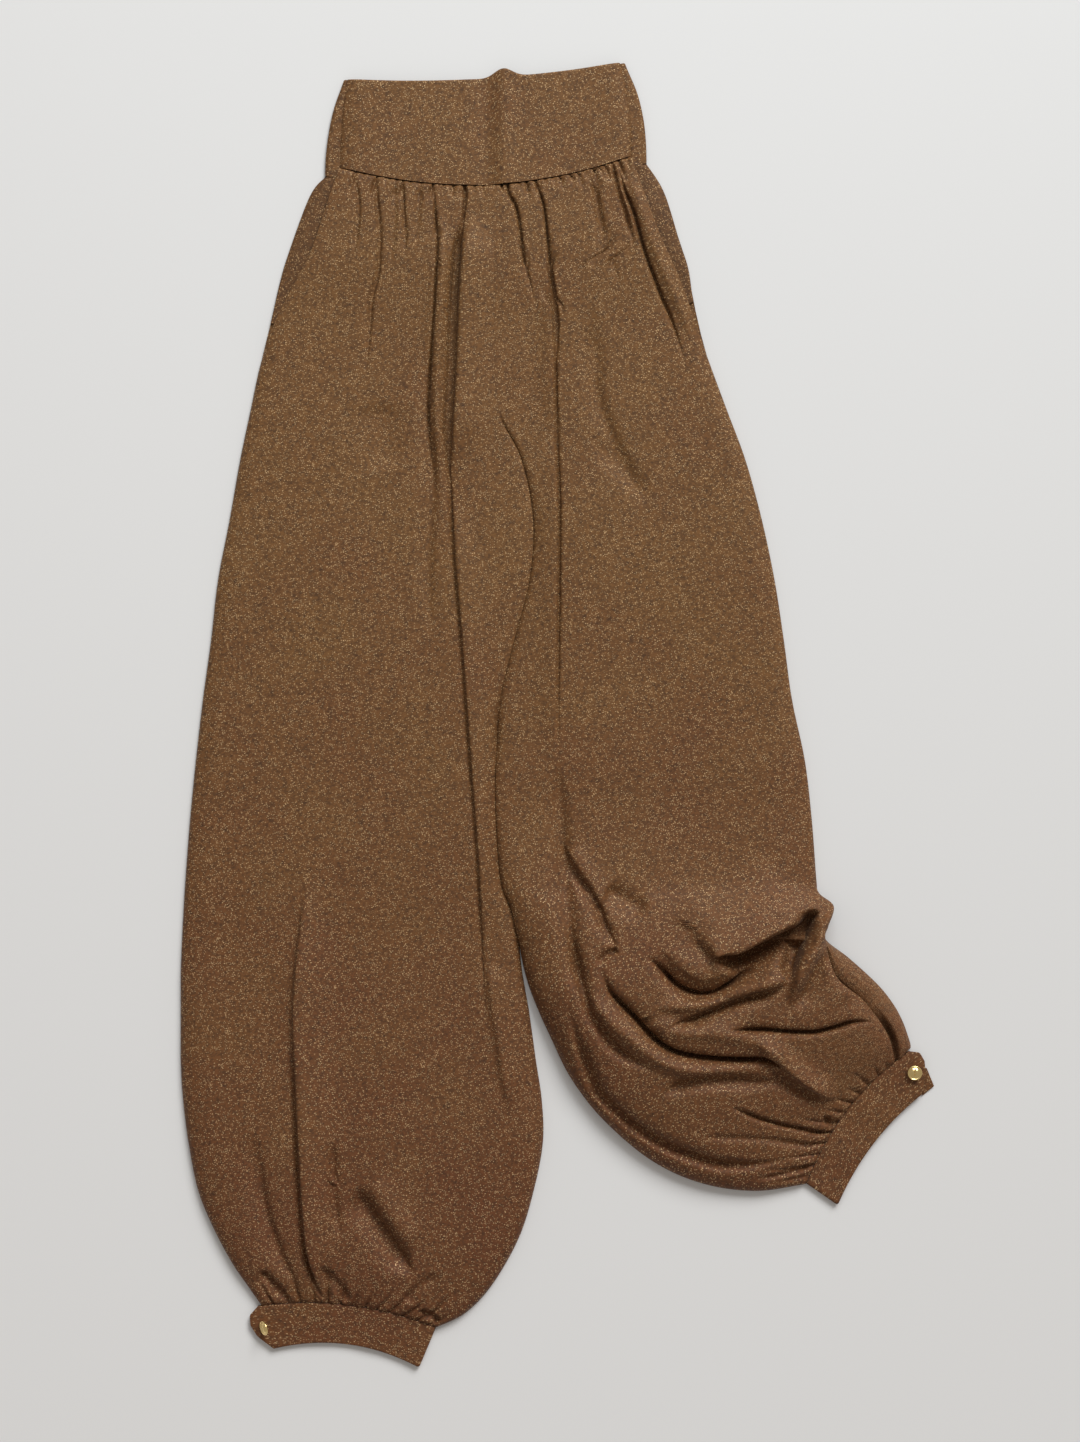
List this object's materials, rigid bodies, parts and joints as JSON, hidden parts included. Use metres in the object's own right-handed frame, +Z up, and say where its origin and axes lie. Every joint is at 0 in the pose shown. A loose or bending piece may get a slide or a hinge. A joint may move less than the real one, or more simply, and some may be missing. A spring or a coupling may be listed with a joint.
{
  "type": "high-waisted trousers, laid flat",
  "caption": "High-waisted balloon trousers in fine metallic knit, laid flat with one leg drawn up, gathered into a wide waistband and buttoned cuffs",
  "frame": {"origin": "on the table, under the middle of the garment's box", "axes": "+Y points from the cuffs to the waistband, +X to the right as one looks down on the front, +Z up from the table"},
  "size_m": [0.6438, 1.1199, 0.0398],
  "materials": {
    "knit": "fine rib-free jersey knit with metallic yarn, soft sheen",
    "gilt": "polished gilt metal"
  },
  "bodies": {
    "root": {"waistband_front": "knit", "waistband_back": "knit", "leg_left_front": "knit", "leg_left_back": "knit", "leg_right_front": "knit", "leg_right_back": "knit", "pocket_left": "knit", "pocket_right": "knit", "cuff_left": "knit", "cuff_right": "knit", "button_left": "gilt", "button_right": "gilt"}
  },
  "joints": []
}
